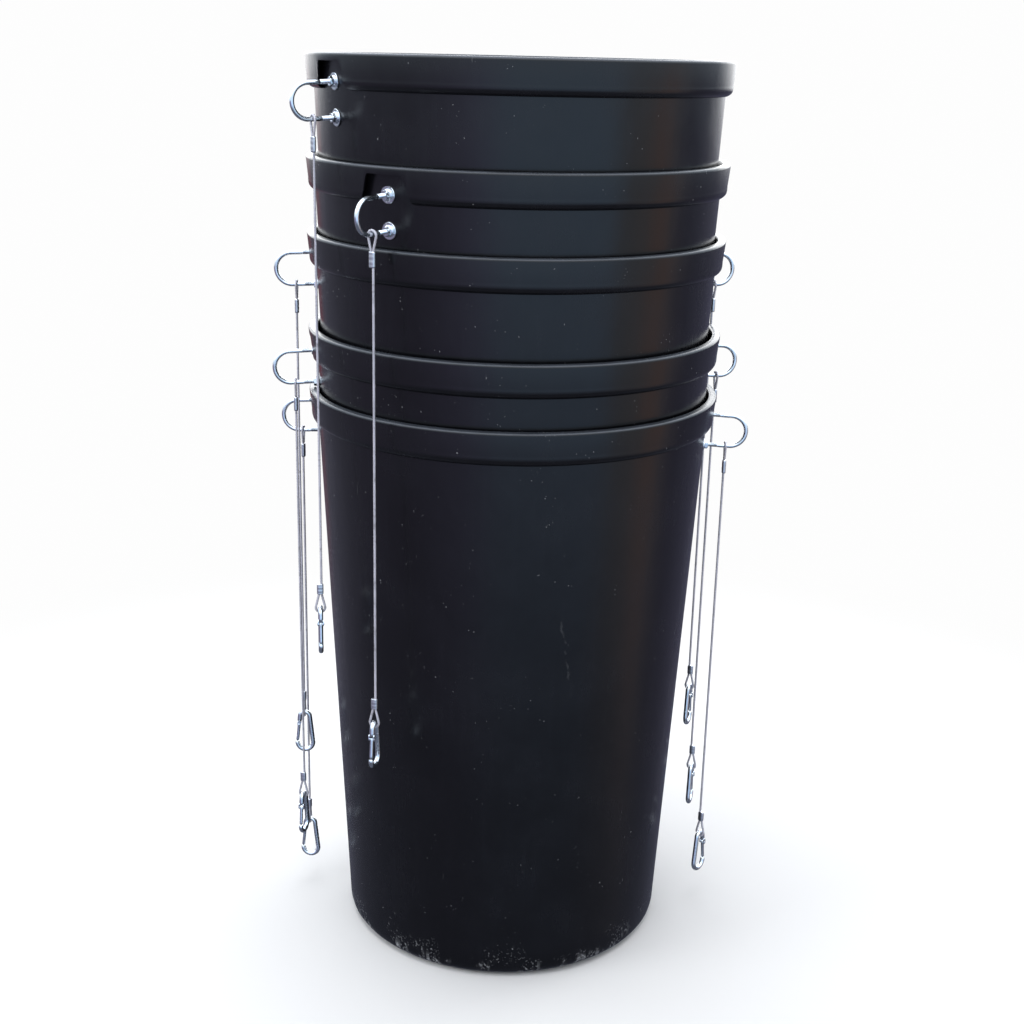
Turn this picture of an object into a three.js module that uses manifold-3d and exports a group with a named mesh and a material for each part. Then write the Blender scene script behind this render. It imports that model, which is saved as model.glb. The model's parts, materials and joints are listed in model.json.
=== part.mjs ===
// A nest of five tall tapered plastic feed buckets, standing one inside the next.
// Each bucket carries two zinc-plated U-bolts under its rim, and from the lower leg of each
// U-bolt hangs a short coated wire sling that ends in a sprung snap hook.
//
// Millimetres, +Z up. The origin is the centre of the lowest bucket's underside.
// Azimuths are degrees from -Y, positive towards +X.

import * as THREE from "three";
import { mergeVertices } from "three/addons/utils/BufferGeometryUtils.js";
import Module from "manifold-3d";

const wasm = await Module();
wasm.setup();

// ---------------------------------------------------------------- driving dimensions

const GAP = 0.3; // between pieces that touch
const LINK_GAP = 0.5; // between pieces that hang in each other
const FACET_CLEAR = 0.2; // between a flat piece and the nearest facet behind it

// Bucket shell
const BUCKET_HEIGHT = 820;
const BASE_RADIUS = 237; // outer wall carried down to the underside
const WALL_FLARE = 42.5; // how much wider the wall is at the rim
const WALL = 2.2;
const FLOOR = 3;
const BASE_ROUND = 18; // radius of the bottom edge
const FLOOR_CURVE = 10.5; // how far in the floor begins inside that edge
const SHELL_SIDES = 48;

// Turned-over rim
const RIM_OVERHANG = 10.5; // wall to the rim's outer edge
const RIM_DEPTH = 45; // top face to the skirt's lower edge
const RIM_TOP = 3; // thickness of the rim's top face
const SKIRT_WALL = 2.2;
const SKIRT_DRAFT = 3.2; // how far the skirt leans in above its chamfer
const CHAMFER_DEPTH = 15; // height of the chamfer that closes the skirt below
const LIP_GAP = 1.4; // slit between the skirt's lip and the wall
const LIP_RISE = 1; // how much higher the chamfer starts on the skirt's inner face
const MOUTH_BEVEL = 2; // lead-in at the mouth
const BEVEL_BELOW = 1.47; // how far the lead-in runs below the next bucket's washers

// Notch in the skirt round each U-bolt
const NOTCH_DROP = 10; // rim top to the notch's upper edge
const NOTCH_TOP_WIDTH = 52;
const NOTCH_BOTTOM_WIDTH = 86;
const NOTCH_CLEAR = 0.5;
const NOTCH_STEPS = 8; // flats that follow the wall's curve
const CUT_PAST = 3; // how far a cutting solid runs past what it cuts

// Snap hook
const WIRE = 3.5; // thickness of the sling that it hangs on
const HOOK_ROD = 7;
const HOOK_LENGTH = 70; // outside
const HOOK_BELLY_RADIUS = 12; // middle of the rod, wide end
const GATE_ROD = 4.8;
const GATE_TOP = 14; // along the side, from the neck's tangent point to the gate's pin
const GATE_LENGTH = 28; // pin to free end
const GATE_TAIL = 1.8; // gate beyond its pin
const NOSE_GAP = 0.8; // gate's free end to the hook's nose
const CHEEK_THICK = 1.2;
const CHEEK_WIDTH = 4.4;
const CHEEK_LAP = 3.5; // cheek beyond the pin and over the body's end, together
const PIN_ROOM = 3.9; // body's end to the pin

// U-bolt, its nuts and washers, and the backing plate inside
const ROD = 6;
const LEG_SPACING = 44.5;
const UPPER_LEG_DROP = 35; // rim top to the upper leg
const BEND_BEYOND = 5.08; // where the sling hangs to where the bend begins
const WASHER_RADIUS = 11;
const WASHER_THICK = 1.5;
const NUT_WALL = 3.5; // rod to the nut's corners
const NUT_THICK = 6.5;
const NUT_SEAT = 0.1; // how far the nut is drawn into its washer, as one solid
const PLATE_THICK = 1;
const PLATE_WIDTH = 20;
const PLATE_MARGIN = 10; // plate beyond each leg
const RIVET_STAND = 0.25; // leg end beyond the plate
const HOLE_CLEAR = 0.4;

// Wire sling
const SLING_CLEAR = 3.5; // hook's widest part to the rim
const EYE_ROOM = 1.15; // eye to the rod inside it
const EYE_LENGTH = 26; // middle of the wire at the crown to the throat
const EYE_TAIL = 3; // wire beyond the throat, inside the ferrule
const STRANDS_APART = 0.8; // between the two wires in a ferrule
const FERRULE_WALL = 1; // ferrule outside the two wires, side to side
const FERRULE_CHEEK = 1.25; // ferrule outside them, front and back
const TOP_FERRULE = 20;
const BOTTOM_FERRULE = 15;
const FLOOR_CLEAR = 5; // longest sling's hook to the ground, when its bucket stands there
const BURIED = 1; // how far the run of wire enters each ferrule

// The nest from the bottom up. rise is how much further a bucket stands out of the one below
// than a tight nest would need, azimuth is where its two U-bolts are, short is how much shorter
// each sling is than the longest, and twist is how far each hook has turned with its wire.
const NEST_CLEAR = 0.25; // between the leg ends in one bucket and the wall of the next
const RIM_CLEAR = 0.5; // between the lower nuts of a bucket and the rim of the next
const NEST = [
  { name: "5", rise: 0, azimuth: [-96, 89], short: [21, 33], twist: [0, 49] },
  { name: "4", rise: 0, azimuth: [-82, 104], short: [18, 21], twist: [66, 58] },
  { name: "3", rise: 44, azimuth: [-91, 109], short: [0, 17], twist: [0, 48] },
  { name: "2", rise: 15, azimuth: [-35, 145], short: [3, 29], twist: [17, 0] },
  { name: "1", rise: 45, azimuth: [-57, 123], short: [3, 29], twist: [65, 0] },
];
const SIDES = ["a", "b"];

// ---------------------------------------------------------------- sizes that follow

const MOUTH_RADIUS = BASE_RADIUS + WALL_FLARE; // outer wall carried up to the rim's top face
const RIM_RADIUS = MOUTH_RADIUS + RIM_OVERHANG;
const TAPER = WALL_FLARE / BUCKET_HEIGHT;
const LEAN = Math.atan(TAPER); // the wall's angle from the vertical
const wallRadius = (z) => BASE_RADIUS + TAPER * z;
const boltMiddle = BUCKET_HEIGHT - UPPER_LEG_DROP - LEG_SPACING / 2;
const bendRadius = LEG_SPACING / 2;
const innerFace = WALL / Math.cos(LEAN);
// A flat plate against a round wall: the wall's facets stand inside its true radius.
const facetSag = MOUTH_RADIUS * (1 - Math.cos(Math.PI / SHELL_SIDES));
const plateFace = innerFace + facetSag + FACET_CLEAR;
const legEnd = -(plateFace + PLATE_THICK + RIVET_STAND);
const nutRadius = ROD / 2 + NUT_WALL;

// A tight nest is held apart by its leg ends against the next wall, or by its nuts on the rim.
const stepForLegs = (NEST_CLEAR - legEnd) / Math.sin(LEAN);
const nutDrop = (bendRadius + nutRadius) * Math.cos(LEAN);
const nutTilt = (GAP + WASHER_THICK + NUT_THICK) * Math.sin(LEAN);
const stepForNuts = BUCKET_HEIGHT - boltMiddle + nutDrop + nutTilt + RIM_CLEAR;
const tightStep = Math.max(stepForLegs, stepForNuts);
// How far the lower washers of a tightly nested bucket sink below the rim of the next.
const washerDip = UPPER_LEG_DROP + LEG_SPACING + WASHER_RADIUS - tightStep;
const mouthBevelDepth = Math.max(washerDip, 0) + BEVEL_BELOW;

const eyeHalfWidth = HOOK_ROD / 2 + WIRE / 2 + EYE_ROOM; // to the middle of the wire
const eyeThroat = WIRE / 2 + STRANDS_APART / 2;
const ferruleWidth = 2 * (WIRE + FERRULE_WALL);
const ferruleDepth = WIRE + 2 * FERRULE_CHEEK;
const hookNeckRadius = HOOK_ROD / 2 + WIRE + LINK_GAP; // middle of the rod, narrow end

// Where a sling hangs on its U-bolt's lower leg.
const slingRadius = RIM_RADIUS + HOOK_BELLY_RADIUS + HOOK_ROD / 2 + SLING_CLEAR;
const hangReach = slingRadius - wallRadius(boltMiddle) + bendRadius * Math.sin(LEAN);
const lowerLegOut = hangReach / Math.cos(LEAN);
const hangHeight = boltMiddle - bendRadius * Math.cos(LEAN) - lowerLegOut * Math.sin(LEAN);
const crownHeight = hangHeight + ROD / 2 + WIRE / 2 + LINK_GAP; // of the upper eye's wire
const uReach = lowerLegOut + BEND_BEYOND + bendRadius; // wall to the middle of the bend's rod
const longestSling = crownHeight - HOOK_LENGTH - FLOOR_CLEAR; // crown to crown of its eyes

// ---------------------------------------------------------------- materials

const plastic = new THREE.MeshStandardMaterial({ color: 0x17191f, roughness: 0.45 });
const zinc = new THREE.MeshStandardMaterial({ color: 0xb9bec2, roughness: 0.3, metalness: 1 });
const steel = new THREE.MeshStandardMaterial({ color: 0x9a9fa3, roughness: 0.4, metalness: 1 });
const coated = new THREE.MeshStandardMaterial({ color: 0xa7a6b4, roughness: 0.4 });

// ---------------------------------------------------------------- solids from geometry

// A closed geometry as a manifold-3d solid, with its faces turned outwards.
function solidOf(geometry) {
  const bare = new THREE.BufferGeometry();
  const flat = geometry.index ? geometry.toNonIndexed() : geometry;
  bare.setAttribute("position", flat.getAttribute("position"));
  const merged = mergeVertices(bare, 1e-3);
  const index = merged.index.array;
  const kept = [];
  for (let i = 0; i < index.length; i += 3) {
    const [a, b, c] = [index[i], index[i + 1], index[i + 2]];
    if (a !== b && b !== c && a !== c) kept.push(a, b, c);
  }
  const build = (triangles) =>
    new wasm.Manifold(
      new wasm.Mesh({
        numProp: 3,
        vertProperties: merged.attributes.position.array,
        triVerts: new Uint32Array(triangles),
      }),
    );
  const made = build(kept);
  if (made.volume() > 0) return made;
  return build(kept.map((_, i) => kept[i - (i % 3) + (2 - (i % 3))]));
}

function meshOf(name, solid, material) {
  const cut = solid.getMesh();
  const positions = new Float32Array(cut.numVert * 3);
  for (let i = 0; i < cut.numVert; i++) {
    const start = i * cut.numProp;
    positions.set(cut.vertProperties.subarray(start, start + 3), i * 3);
  }
  const geometry = new THREE.BufferGeometry();
  geometry.setAttribute("position", new THREE.BufferAttribute(positions, 3));
  geometry.setIndex(new THREE.BufferAttribute(new Uint32Array(cut.triVerts), 1));
  geometry.computeVertexNormals();
  const mesh = new THREE.Mesh(geometry, material);
  mesh.name = name;
  return mesh;
}

const join = (solids) => solids.reduce((whole, next) => whole.add(next));

// A round bar's section, as an n-sided shape.
function barSection(diameter, sides) {
  const corners = [];
  for (let i = 0; i < sides; i++) {
    const angle = (2 * Math.PI * (i + 0.5)) / sides;
    corners.push(new THREE.Vector2(Math.cos(angle), Math.sin(angle)).multiplyScalar(diameter / 2));
  }
  return new THREE.Shape(corners);
}

function barAlong(path, diameter, sides, steps) {
  return solidOf(
    new THREE.ExtrudeGeometry(barSection(diameter, sides), {
      steps,
      extrudePath: path,
      bevelEnabled: false,
    }),
  );
}

// A disc or prism whose axis is X, from x = from to x = to, at height z.
function discAlongX(radius, from, to, z, sides) {
  const disc = new THREE.CylinderGeometry(radius, radius, to - from, sides);
  disc.rotateZ(-Math.PI / 2).translate((from + to) / 2, 0, z);
  return solidOf(disc);
}

function block(width, depth, height, x, y, z) {
  return solidOf(new THREE.BoxGeometry(width, depth, height).translate(x, y, z));
}

// An arc in the XZ plane about (x, z), from one angle to another.
class ArcXZ extends THREE.Curve {
  constructor(x, z, radius, from, to) {
    super();
    Object.assign(this, { x, z, radius, from, to });
  }
  getPoint(t, target = new THREE.Vector3()) {
    const angle = this.from + (this.to - this.from) * t;
    const x = this.x + this.radius * Math.cos(angle);
    return target.set(x, 0, this.z + this.radius * Math.sin(angle));
  }
}

const pathOf = (curves) => {
  const path = new THREE.CurvePath();
  curves.forEach((curve) => path.add(curve));
  return path;
};
const lineXZ = (x0, z0, x1, z1) =>
  new THREE.LineCurve3(new THREE.Vector3(x0, 0, z0), new THREE.Vector3(x1, 0, z1));

// ---------------------------------------------------------------- bucket

// The shell's outline from the middle of the underside, up the outside, over the rim and
// down the inside to the middle of the floor.
function shellOutline() {
  const rimFoot = BUCKET_HEIGHT - RIM_DEPTH;
  const skirtFoot = rimFoot + CHAMFER_DEPTH;
  const under = BUCKET_HEIGHT - RIM_TOP;
  const lip = wallRadius(rimFoot) + LIP_GAP;
  const outline = [new THREE.Vector2(0, 0)];
  for (let i = 0; i <= 2; i++) {
    const angle = (i / 2) * (Math.PI / 2 - LEAN);
    outline.push(
      new THREE.Vector2(
        wallRadius(BASE_ROUND) - BASE_ROUND * (1 - Math.sin(angle)),
        BASE_ROUND * (1 - Math.cos(angle)),
      ),
    );
  }
  outline.push(
    new THREE.Vector2(wallRadius(under), under),
    new THREE.Vector2(RIM_RADIUS - SKIRT_WALL, under),
    new THREE.Vector2(RIM_RADIUS - SKIRT_DRAFT - SKIRT_WALL, skirtFoot + LIP_RISE),
    new THREE.Vector2(lip, rimFoot),
    new THREE.Vector2(RIM_RADIUS - SKIRT_DRAFT, skirtFoot),
    new THREE.Vector2(RIM_RADIUS, BUCKET_HEIGHT),
    new THREE.Vector2(MOUTH_RADIUS - WALL + MOUTH_BEVEL, BUCKET_HEIGHT),
  );
  const bevelFoot = BUCKET_HEIGHT - mouthBevelDepth;
  outline.push(new THREE.Vector2(wallRadius(bevelFoot) - WALL, bevelFoot));
  const inner = wallRadius(BASE_ROUND) - WALL;
  outline.push(new THREE.Vector2(inner, BASE_ROUND));
  outline.push(new THREE.Vector2(inner - FLOOR_CURVE, FLOOR));
  outline.push(new THREE.Vector2(0, FLOOR));
  return outline;
}

function shellBlank() {
  const lathe = new THREE.LatheGeometry(shellOutline(), SHELL_SIDES);
  lathe.rotateX(Math.PI / 2);
  return solidOf(lathe);
}

// The block that cuts the skirt away round a U-bolt: wider at its foot than at its top, and
// following the wall at a small clearance, centred on +X.
function notchCutter() {
  const steps = NOTCH_STEPS;
  const top = BUCKET_HEIGHT - NOTCH_DROP;
  const foot = BUCKET_HEIGHT - RIM_DEPTH - CUT_PAST;
  const outer = RIM_RADIUS + CUT_PAST;
  const positions = [];
  const corner = (step, z, outside) => {
    const width = z === top ? NOTCH_TOP_WIDTH : NOTCH_BOTTOM_WIDTH;
    const angle = ((step / steps - 0.5) * width) / RIM_RADIUS;
    const radius = outside ? outer : wallRadius(z) + NOTCH_CLEAR;
    return [radius * Math.cos(angle), radius * Math.sin(angle), z];
  };
  const quad = (a, b, c, d) => positions.push(...a, ...b, ...c, ...a, ...c, ...d);
  for (let i = 0; i < steps; i++) {
    const j = i + 1;
    quad(corner(i, foot, true), corner(j, foot, true), corner(j, top, true), corner(i, top, true));
    quad(corner(j, foot, false), corner(i, foot, false), corner(i, top, false), corner(j, top, false));
    quad(corner(i, top, true), corner(j, top, true), corner(j, top, false), corner(i, top, false));
    quad(corner(j, foot, true), corner(i, foot, true), corner(i, foot, false), corner(j, foot, false));
  }
  for (const [step, turned] of [[0, false], [steps, true]]) {
    const end = [
      corner(step, foot, false),
      corner(step, foot, true),
      corner(step, top, true),
      corner(step, top, false),
    ];
    if (turned) end.reverse();
    quad(...end);
  }
  const geometry = new THREE.BufferGeometry();
  geometry.setAttribute("position", new THREE.Float32BufferAttribute(positions, 3));
  return solidOf(geometry);
}

// Moves a solid made in the U-bolt's own frame (X out of the wall, Z up the wall, origin on
// the wall midway between the legs) to its place on a bucket, facing +X.
function onWall(solid) {
  const place = new THREE.Matrix4()
    .makeTranslation(wallRadius(boltMiddle), 0, boltMiddle)
    .multiply(new THREE.Matrix4().makeRotationY(LEAN));
  return solid.transform(place.elements);
}

const legHeights = [LEG_SPACING / 2, -LEG_SPACING / 2];

function legHoles() {
  const holes = legHeights.map((z) =>
    discAlongX(ROD / 2 + HOLE_CLEAR, -innerFace - CUT_PAST, CUT_PAST, z, 8),
  );
  return onWall(join(holes));
}

// Turn about Z that brings +X to an azimuth.
const turnOf = (azimuth) => azimuth - 90;

function bucketShell(azimuths) {
  let shell = shellBlank();
  for (const azimuth of azimuths) {
    const cutter = notchCutter().add(legHoles()).rotate([0, 0, turnOf(azimuth)]);
    shell = shell.subtract(cutter);
  }
  return shell;
}

// ---------------------------------------------------------------- U-bolt and plate

// The bent rod with a washer and a flanged nut drawn up on each leg.
function uBolt() {
  const start = uReach - bendRadius;
  const rod = barAlong(
    pathOf([
      lineXZ(legEnd, bendRadius, start, bendRadius),
      new ArcXZ(start, 0, bendRadius, Math.PI / 2, -Math.PI / 2),
      lineXZ(start, -bendRadius, legEnd, -bendRadius),
    ]),
    ROD,
    6,
    14,
  );
  const fittings = legHeights.flatMap((z) => {
    const seat = GAP + WASHER_THICK;
    return [
      discAlongX(WASHER_RADIUS, GAP, seat, z, 10),
      discAlongX(nutRadius, seat - NUT_SEAT, seat + NUT_THICK, z, 6),
    ];
  });
  return onWall(join([rod, ...fittings]));
}

// The strip inside the wall that the leg ends are riveted over.
function backingPlate() {
  const middle = -(plateFace + PLATE_THICK / 2);
  const length = LEG_SPACING + 2 * PLATE_MARGIN;
  const strip = block(PLATE_THICK, PLATE_WIDTH, length, middle, 0, 0);
  const holes = legHeights.map((z) =>
    discAlongX(ROD / 2 + HOLE_CLEAR, middle - PLATE_THICK, middle + PLATE_THICK, z, 8),
  );
  return onWall(strip.subtract(join(holes)));
}

// ---------------------------------------------------------------- sling

// One eye in the YZ plane, crown at the origin, throat below it.
function wireEye() {
  const middle = -eyeHalfWidth;
  const reach = EYE_LENGTH - eyeHalfWidth;
  // The side runs from the throat to a tangent point on the crown's arc.
  const distance = Math.hypot(eyeThroat, reach);
  const swing = Math.acos(eyeHalfWidth / distance);
  const angle = Math.atan2(reach, eyeThroat) - swing;
  const side = [eyeHalfWidth * Math.cos(angle), middle - eyeHalfWidth * Math.sin(angle)];
  const throat = -EYE_LENGTH - EYE_TAIL;
  const path = pathOf([
    lineXZ(eyeThroat, throat, side[0], side[1]),
    new ArcXZ(0, middle, eyeHalfWidth, -angle, Math.PI + angle),
    lineXZ(-side[0], side[1], -eyeThroat, throat),
  ]);
  return barAlong(path, WIRE, 5, 12).rotate([0, 0, 90]);
}

// A pressed ferrule whose top is at a height.
function ferrule(length, top) {
  return block(ferruleDepth, ferruleWidth, length, 0, 0, top - length / 2);
}

// The whole sling hanging from its crown: eye, ferrule, straight run, ferrule, eye. The lower
// eye and its ferrule have turned with the wire.
function wireSling(length, twist) {
  const runTop = -EYE_LENGTH - TOP_FERRULE + BURIED;
  const runFoot = -length + EYE_LENGTH + BOTTOM_FERRULE - BURIED;
  const run = barAlong(lineXZ(0, runTop, 0, runFoot), WIRE, 8, 3);
  const lowerFerrule = ferrule(BOTTOM_FERRULE, -length + EYE_LENGTH + BOTTOM_FERRULE);
  const lowerEye = wireEye().rotate([180, 0, 0]).translate([0, 0, -length]);
  const foot = join([lowerFerrule, lowerEye]).rotate([0, 0, twist]);
  return join([wireEye(), ferrule(TOP_FERRULE, -EYE_LENGTH), run, foot]);
}

// ---------------------------------------------------------------- snap hook

// The hook's outline is two arcs and their outer tangents, in the XZ plane. Its origin is the
// sling's crown that it hangs on, and its gate is on the +X side.
const neckCrown = WIRE / 2 + HOOK_ROD / 2 + LINK_GAP;
const neckZ = neckCrown - hookNeckRadius;
const bellyZ = neckCrown - (HOOK_LENGTH - HOOK_ROD) + HOOK_BELLY_RADIUS;
const flare = Math.asin((HOOK_BELLY_RADIUS - hookNeckRadius) / (neckZ - bellyZ));
// A point on the gate side's tangent, at a distance down from the neck's tangent point.
const sidePoint = (down) => [
  hookNeckRadius * Math.cos(flare) + down * Math.sin(flare),
  neckZ + hookNeckRadius * Math.sin(flare) - down * Math.cos(flare),
];
const sideLength = (neckZ - bellyZ) * Math.cos(flare);

function hookBody() {
  const [x0, z0] = sidePoint(GATE_TOP - PIN_ROOM);
  const [x1, z1] = sidePoint(0);
  const [x2, z2] = sidePoint(sideLength);
  const path = pathOf([
    lineXZ(x0, z0, x1, z1),
    new ArcXZ(0, neckZ, hookNeckRadius, flare, Math.PI - flare),
    lineXZ(-x1, z1, -x2, z2),
    new ArcXZ(0, bellyZ, HOOK_BELLY_RADIUS, Math.PI - flare, 2 * Math.PI + noseAngle()),
  ]);
  const bar = barAlong(path, HOOK_ROD, 6, 15);
  const cheekOut = GATE_ROD / 2 + LINK_GAP + CHEEK_THICK / 2;
  const [pinX, pinZ] = sidePoint(GATE_TOP - PIN_ROOM / 2);
  const cheeks = [-1, 1].map((side) =>
    block(CHEEK_WIDTH, CHEEK_THICK, PIN_ROOM + CHEEK_LAP, 0, side * cheekOut, 0)
      .rotate([0, THREE.MathUtils.radToDeg(-flare), 0])
      .translate([pinX, 0, pinZ]),
  );
  return join([bar, ...cheeks]);
}

// The nose stops where the gate's free end begins.
function noseAngle() {
  const past = GATE_TOP + GATE_LENGTH + NOSE_GAP - sideLength;
  return flare - past / HOOK_BELLY_RADIUS;
}

function hookGate() {
  const [x0, z0] = sidePoint(GATE_TOP - GATE_TAIL);
  const [x1, z1] = sidePoint(Math.min(GATE_TOP + GATE_LENGTH, sideLength));
  return barAlong(lineXZ(x0, z0, x1, z1), GATE_ROD, 8, 1);
}

// ---------------------------------------------------------------- assembly

const nest = new THREE.Group();
nest.name = "feed_bucket_nest";

let lift = 0;
for (const [level, { name, rise, azimuth, short, twist }] of NEST.entries()) {
  if (level > 0) lift += tightStep + rise;
  const bucket = new THREE.Group();
  bucket.position.z = lift;
  bucket.add(meshOf("bucket_" + name, bucketShell(azimuth), plastic));
  SIDES.forEach((side, i) => {
    const key = name + side;
    const length = longestSling - short[i];
    const station = new THREE.Group();
    station.rotation.z = THREE.MathUtils.degToRad(turnOf(azimuth[i]));
    station.add(meshOf("u_bolt_" + key, uBolt(), zinc));
    station.add(meshOf("backing_plate_" + key, backingPlate(), steel));

    const hanging = new THREE.Group();
    hanging.position.set(slingRadius, 0, crownHeight);
    hanging.add(meshOf("wire_sling_" + key, wireSling(length, twist[i]), coated));

    const hook = new THREE.Group();
    hook.position.z = -length;
    hook.rotation.z = THREE.MathUtils.degToRad(twist[i]);
    hook.add(meshOf("snap_hook_" + key, hookBody(), zinc));
    hook.add(meshOf("hook_gate_" + key, hookGate(), zinc));
    hanging.add(hook);
    station.add(hanging);
    bucket.add(station);
  });
  nest.add(bucket);
}

export default nest;
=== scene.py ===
# %% [markdown]
# # A nest of five feed buckets
#
# Five tall black plastic buckets stand one in the next. Each has a turned-over rim, two
# zinc-plated U-bolts through its wall, and two short wire slings with a snap hook on each.
# The CAD model already says where every part is and how it moves. This lesson dresses it: smooth
# shells, real bolts and washers, twisted wire, and the finishes of plastic, zinc and steel.

import json
from math import acos, asin, atan2, ceil, copysign, cos, degrees, floor, hypot, pi, radians, sin, sqrt

import bmesh
import bpy
from mathutils import Matrix, Vector, noise


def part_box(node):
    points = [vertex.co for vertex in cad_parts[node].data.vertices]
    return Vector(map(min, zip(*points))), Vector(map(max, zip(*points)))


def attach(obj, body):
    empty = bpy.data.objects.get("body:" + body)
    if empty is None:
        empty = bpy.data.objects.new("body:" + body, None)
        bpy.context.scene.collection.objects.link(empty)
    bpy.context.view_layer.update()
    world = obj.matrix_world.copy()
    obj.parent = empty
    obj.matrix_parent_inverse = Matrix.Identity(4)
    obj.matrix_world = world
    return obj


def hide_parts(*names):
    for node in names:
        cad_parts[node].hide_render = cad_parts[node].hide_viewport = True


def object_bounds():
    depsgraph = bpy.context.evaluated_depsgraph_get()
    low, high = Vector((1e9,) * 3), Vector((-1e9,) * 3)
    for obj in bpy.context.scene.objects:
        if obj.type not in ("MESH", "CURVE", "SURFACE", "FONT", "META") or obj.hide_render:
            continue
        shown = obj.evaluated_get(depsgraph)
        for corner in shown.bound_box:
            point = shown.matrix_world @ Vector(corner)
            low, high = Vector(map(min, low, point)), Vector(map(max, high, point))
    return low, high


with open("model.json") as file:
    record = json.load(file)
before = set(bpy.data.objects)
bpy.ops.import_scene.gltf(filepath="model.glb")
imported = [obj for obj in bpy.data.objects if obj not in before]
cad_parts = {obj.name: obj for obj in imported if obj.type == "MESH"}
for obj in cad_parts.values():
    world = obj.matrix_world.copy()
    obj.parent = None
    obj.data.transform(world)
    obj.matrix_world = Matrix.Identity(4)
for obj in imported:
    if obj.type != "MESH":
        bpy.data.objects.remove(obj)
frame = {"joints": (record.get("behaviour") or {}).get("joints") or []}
cad_low, cad_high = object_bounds()
print("CAD box", [round(c, 3) for c in cad_low], [round(c, 3) for c in cad_high])

# %% [markdown]
# ## The camera
# A camera can be aimed with a tracking constraint, with angles typed into its panel, or with a
# matrix. A matrix built from three turns is used here, because the order of the turns is then
# plain to read: a small roll first, then the tilt down from level, then the turn about the
# vertical. The viewer stands about two metres away, with the eye level with the top rim.

# %% Camera
EYE = Vector((0.0016, -2.1235, 1.2780))
LOOK_DOWN, LOOK_ASIDE, ROLL = 0.2965, -0.0005, 0.0234
LENS_MM, SENSOR_MM = 53.03, 36.0

camera = bpy.data.objects.new("camera", bpy.data.cameras.new("camera"))
camera.data.lens, camera.data.sensor_width = LENS_MM, SENSOR_MM
camera.matrix_world = (
    Matrix.Translation(EYE)
    @ Matrix.Rotation(LOOK_ASIDE, 4, "Z")
    @ Matrix.Rotation(pi / 2 - LOOK_DOWN, 4, "X")
    @ Matrix.Rotation(ROLL, 4, "Z")
)
bpy.context.scene.collection.objects.link(camera)
bpy.context.scene.camera = camera
print("camera", round((EYE - (cad_low + cad_high) / 2).length, 2), "m from the nest's middle")

# %% [markdown]
# ## Where everything hangs
# Each sling swings on a hinge in the CAD model, and each hook on another. Their pivots are
# exactly the points that the wire's two eyes hang from, so the frame gives every place that the
# hardware needs. A `Station` gathers them for one U-bolt: its bucket, the direction it faces, how
# far the hook below has twisted, and a matrix that turns a part drawn facing +X to face that way.

# %% Stations
BUCKETS = "12345"
joints = {joint["name"]: joint for joint in frame["joints"]}
lift_of = {number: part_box("bucket_" + number)[0].z for number in BUCKETS}
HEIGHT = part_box("bucket_5")[1].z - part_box("bucket_5")[0].z


class Station:
    """One U-bolt with its sling and hook, placed from the frame's own joints."""

    def __init__(self, number, side):
        self.number, self.key = number, number + side
        sling, hook = joints["swing_sling_" + self.key], joints["swing_hook_" + self.key]
        self.crown = Vector(sling["pos_m"])
        self.foot = Vector(hook["pos_m"])
        self.pin = Vector(joints["open_gate_" + self.key]["pos_m"])
        self.length = (self.crown - self.foot).length
        self.turn = atan2(self.crown.y, self.crown.x)
        self.twist = atan2(-hook["axis"][1], -hook["axis"][0]) - pi / 2 - self.turn

    def facing(self, origin, twist=0.0):
        return Matrix.Translation(origin) @ Matrix.Rotation(self.turn + twist, 4, "Z")


stations = [Station(number, side) for number in BUCKETS for side in "ab"]
for station in stations:
    print(station.key, "faces", round(degrees(station.turn)), "sling", round(station.length, 3), "m")

# %% [markdown]
# ## Mesh tools
# Almost everything on this object is either turned on a lathe, or a bar bent along a line. Blender
# has a Screw modifier and bevelled curves for those, but plain lists of points and faces give more
# control over notches, threads and flats, and the finished mesh needs no modifiers at all. Each
# helper returns a pair, points and faces, so shapes can be moved and joined before they become
# an object.

# %% Shapes are pairs of points and faces
SOFT, MOULDED, STAMPED, MACHINED = 40, 32, 30, 26  # degrees past which an edge is shown sharp
NEVER_SHARP = 180
MERGE, SLIVER = 2e-6, 1e-6  # points closer than this are one; thinner faces are dropped


def moved(shape, matrix):
    points, faces = shape
    return [matrix @ point for point in points], faces


def joined(shapes):
    points, faces = [], []
    for more_points, more_faces in shapes:
        start = len(points)
        points += more_points
        faces += [[start + corner for corner in face] for face in more_faces]
    return points, faces


def piece(name, shape, finish, body, stands_for=(), crease=SOFT):
    """A finished object: smooth but for its sharp edges, riding on a body, in a finish."""
    mesh = bpy.data.meshes.new(name)
    mesh.from_pydata([tuple(point) for point in shape[0]], [], shape[1])
    tidy = bmesh.new()
    tidy.from_mesh(mesh)
    bmesh.ops.remove_doubles(tidy, verts=tidy.verts, dist=MERGE)
    bmesh.ops.dissolve_degenerate(tidy, edges=tidy.edges, dist=SLIVER)
    bmesh.ops.recalc_face_normals(tidy, faces=tidy.faces)
    for edge in tidy.edges:
        edge.smooth = len(edge.link_faces) == 2 and edge.calc_face_angle(0) < radians(crease)
    for face in tidy.faces:
        face.smooth = True
    tidy.to_mesh(mesh)
    tidy.free()
    mesh.materials.append(finish.material)
    made = bpy.data.objects.new(name, mesh)
    bpy.context.scene.collection.objects.link(made)
    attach(made, body)
    if stands_for:
        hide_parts(*stands_for)
    return made


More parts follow.
